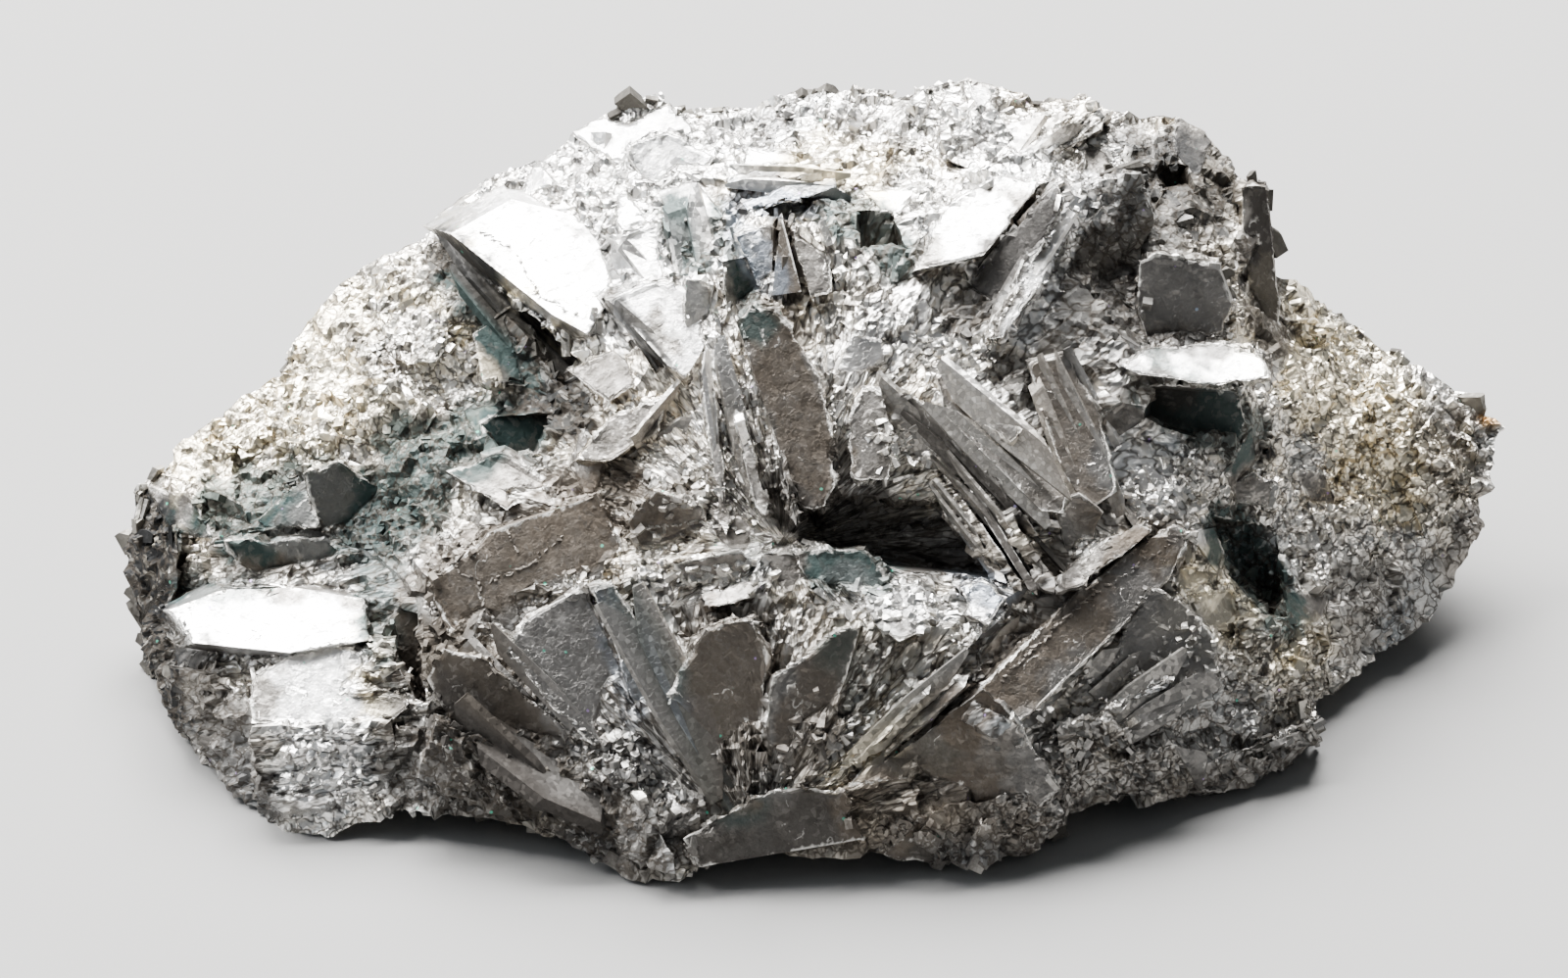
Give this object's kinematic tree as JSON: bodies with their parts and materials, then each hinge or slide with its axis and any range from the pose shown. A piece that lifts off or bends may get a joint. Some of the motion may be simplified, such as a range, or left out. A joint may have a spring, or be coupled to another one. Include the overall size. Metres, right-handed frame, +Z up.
{
  "type": "pyrite cluster",
  "caption": "Hand-sized mineral specimen: pale granular metal mass, broken open to show fans of flat tabular crystals, resting on its own rough underside.",
  "frame": {"origin": "centre of the bounding box's underside, on the surface that the cluster rests on", "axes": "+X along its length, +Z up, -Y towards the broken show face, which also looks upwards by 35 degrees"},
  "size_m": [0.0706, 0.0458, 0.0256],
  "materials": {
    "pyrite": "broken metallic crystal faces, pale silvery grey with brown tarnish"
  },
  "bodies": {
    "root": {"pyrite_cluster": "pyrite"}
  },
  "joints": []
}
